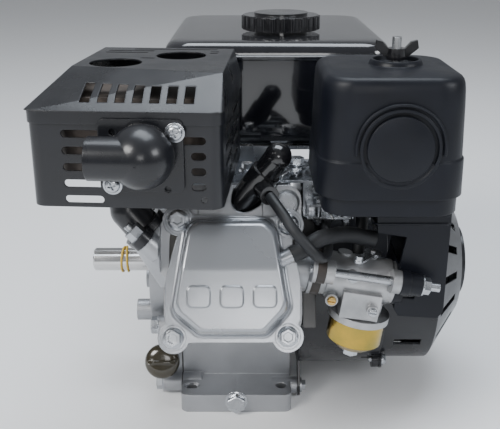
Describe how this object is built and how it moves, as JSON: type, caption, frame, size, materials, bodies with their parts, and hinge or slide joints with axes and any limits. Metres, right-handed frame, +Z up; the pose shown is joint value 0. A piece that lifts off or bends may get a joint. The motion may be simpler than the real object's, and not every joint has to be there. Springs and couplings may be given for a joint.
{
  "type": "small petrol engine",
  "caption": "Air-cooled horizontal-shaft petrol engine with pull starter, top fuel tank, shrouded muffler, air cleaner, float carburettor and bolt-down base.",
  "frame": {"origin": "centre of the four base holes, on the underside of the base", "axes": "-X along the crankshaft out of the output end, -Y towards the cylinder head, +Z up"},
  "size_m": [0.318, 0.3871, 0.316],
  "materials": {
    "cast_aluminium": "cast satin",
    "cover_silver": "silver paint",
    "cast_iron": "honed",
    "gasket": "fibre",
    "zinc_steel": "zinc plated",
    "bright_steel": "machined",
    "shaft_steel": "ground",
    "black_rubber": "matte",
    "glossy_black": "gloss",
    "black_enamel": "satin enamel",
    "muffler_steel": "heat darkened",
    "tank_black": "gloss enamel",
    "black_plastic": "satin",
    "filter_media": "pleated paper",
    "carb_cast": "die cast",
    "gold_zinc": "yellow chromate",
    "phenolic": "moulded",
    "cap_olive": "gloss"
  },
  "bodies": {
    "engine": {"crankcase": "cast_aluminium", "cylinder_sleeve": "cast_iron", "crankcase_cover": "cast_aluminium", "gaskets": "gasket", "cover_bolts": "zinc_steel", "crank_bearings": "bright_steel", "oil_seals": "black_rubber", "drain_bolt": "zinc_steel", "cylinder_head": "cast_aluminium", "head_bolts": "zinc_steel", "valves": "bright_steel", "rocker_arms": "bright_steel", "pushrods": "bright_steel", "valve_cover": "cover_silver", "valve_cover_bolts": "zinc_steel", "spark_plug": "zinc_steel", "plug_cap": "glossy_black", "ignition_lead": "black_rubber", "breather_tube": "black_rubber", "exhaust_pipe": "black_enamel", "exhaust_nuts": "zinc_steel", "muffler_body": "muffler_steel", "shroud_upper": "black_enamel", "shroud_lower": "black_enamel", "exhaust_deflector": "black_enamel", "deflector_screws": "zinc_steel", "fuel_tank": "tank_black", "tank_bracket": "zinc_steel", "fuel_hose": "black_rubber", "air_duct": "black_plastic", "air_filter": "filter_media", "air_stud": "bright_steel", "carburetor_body": "carb_cast", "float_bowl": "gold_zinc", "bowl_bolt": "zinc_steel", "insulator": "phenolic", "intake_studs": "zinc_steel", "control_bracket": "zinc_steel", "control_bolts": "zinc_steel", "blower_housing": "black_enamel", "recoil_case": "black_enamel", "shroud_bolts": "zinc_steel", "ignition_coil": "phenolic", "connecting_rod": "cast_aluminium", "piston": "cast_aluminium", "wrist_pin": "bright_steel", "crank_pin": "bright_steel"},
    "crank": {"crankshaft": "shaft_steel", "flywheel": "cast_aluminium", "starter_cup": "bright_steel"},
    "cam": {"camshaft": "bright_steel"},
    "reel": {"recoil_reel": "black_plastic"},
    "grip": {"starter_grip": "glossy_black"},
    "cap": {"fuel_cap": "glossy_black"},
    "dipstick": {"dipstick": "cap_olive"},
    "cleaner_cover": {"air_cleaner_cover": "black_plastic"},
    "wing_nut": {"wing_nut": "glossy_black"},
    "speed_lever": {"control_lever": "zinc_steel"},
    "choke_lever": {"choke_lever": "zinc_steel"},
    "fuel_lever": {"fuel_valve_lever": "black_plastic"}
  },
  "joints": [
    {"name": "crank_spin", "type": "hinge", "parent": "engine", "child": "crank", "pos_m": [0, -0.02, 0.106], "axis": [1, 0, 0], "continuous": true},
    {"name": "cam_spin", "type": "hinge", "parent": "engine", "child": "cam", "pos_m": [0, -0.00453, 0.04803], "axis": [1, 0, 0], "continuous": true},
    {"name": "grip_pull", "type": "slide", "parent": "engine", "child": "grip", "axis": [0, 0.26, 0.9656], "range_m": [0, 0.5], "stiffness_N_per_m": 12, "springref_m": -0.25},
    {"name": "reel_turn", "type": "hinge", "parent": "engine", "child": "reel", "pos_m": [0, -0.02, 0.106], "axis": [1, 0, 0], "range_deg": [0, 600]},
    {"name": "cap_lift", "type": "slide", "parent": "engine", "child": "cap", "axis": [0, 0, 1], "range_m": [0, 0.05]},
    {"name": "dipstick_out", "type": "slide", "parent": "engine", "child": "dipstick", "axis": [0, -0.9272, 0.3746], "range_m": [0, 0.05]},
    {"name": "cover_lift", "type": "slide", "parent": "engine", "child": "cleaner_cover", "axis": [0, 0, 1], "range_m": [0, 0.12]},
    {"name": "wing_nut_turn", "type": "hinge", "parent": "cleaner_cover", "child": "wing_nut", "pos_m": [0.105, -0.152, 0.305], "axis": [0, 0, 1], "continuous": true},
    {"name": "speed_lever_turn", "type": "hinge", "parent": "engine", "child": "speed_lever", "pos_m": [0.046, -0.096, 0.214], "axis": [0, 0, 1], "range_deg": [-15, 15]},
    {"name": "choke_turn", "type": "hinge", "parent": "engine", "child": "choke_lever", "pos_m": [0.09638, -0.158, 0.16959], "axis": [0.1564, 0, 0.9877], "range_deg": [-50, 0]},
    {"name": "fuel_valve_turn", "type": "hinge", "parent": "engine", "child": "fuel_lever", "pos_m": [0.08666, -0.1337, 0.13377], "axis": [0, 1, 0], "range_deg": [-60, 0]}
  ],
  "couplings": [
    {"joint": "cam_spin", "follows": "crank_spin", "ratio": -0.5},
    {"joint": "reel_turn", "follows": "grip_pull", "rad_per_m": 20}
  ]
}
